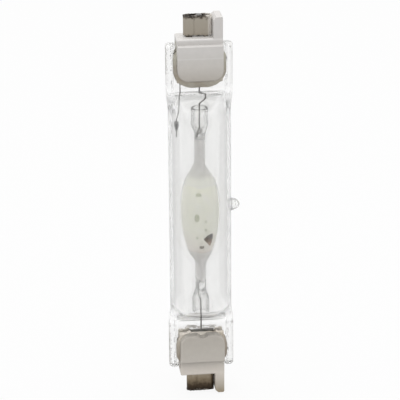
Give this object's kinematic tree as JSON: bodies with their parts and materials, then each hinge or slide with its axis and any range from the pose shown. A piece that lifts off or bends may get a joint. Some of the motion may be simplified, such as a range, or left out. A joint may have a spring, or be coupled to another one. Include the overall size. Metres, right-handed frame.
{
  "type": "double-ended metal halide lamp",
  "caption": "Double-ended metal halide lamp: clear quartz tube with a pale arc tube inside and a flat-contact ceramic cap at each end.",
  "frame": {"origin": "on the lamp's axis at the outermost tip of the lower cap, where its weld bead ends", "axes": "+Z along the lamp's axis towards the upper cap; +X to the side of the exhaust tip and the ceramic keys; -Y is the front, along the face of the flat pinches"},
  "size_m": [0.0296, 0.0252, 0.163],
  "materials": {
    "clear_quartz": "polished",
    "arc_quartz": "satin",
    "white_ceramic": "matte",
    "cement": "matte",
    "nickel_plate": "satin",
    "lead_metal": "satin",
    "tungsten": "satin",
    "getter_alloy": "matte",
    "halide_salt": "matte",
    "mercury": "polished"
  },
  "bodies": {
    "root": {"outer_bulb": "clear_quartz", "upper_base": "white_ceramic", "lower_base": "white_ceramic", "upper_cement": "cement", "lower_cement": "cement", "upper_contact": "nickel_plate", "lower_contact": "nickel_plate", "upper_outer_lead": "lead_metal", "lower_outer_lead": "lead_metal", "upper_pinch_foil": "lead_metal", "lower_pinch_foil": "lead_metal", "upper_feed_wire": "lead_metal", "lower_feed_wire": "lead_metal", "arc_tube": "arc_quartz", "upper_arc_foil": "lead_metal", "lower_arc_foil": "lead_metal", "upper_electrode": "tungsten", "lower_electrode": "tungsten", "upper_electrode_coil": "tungsten", "lower_electrode_coil": "tungsten", "getter_wire": "lead_metal", "getter": "getter_alloy", "halide_salt": "halide_salt", "mercury_beads": "mercury"}
  },
  "joints": []
}
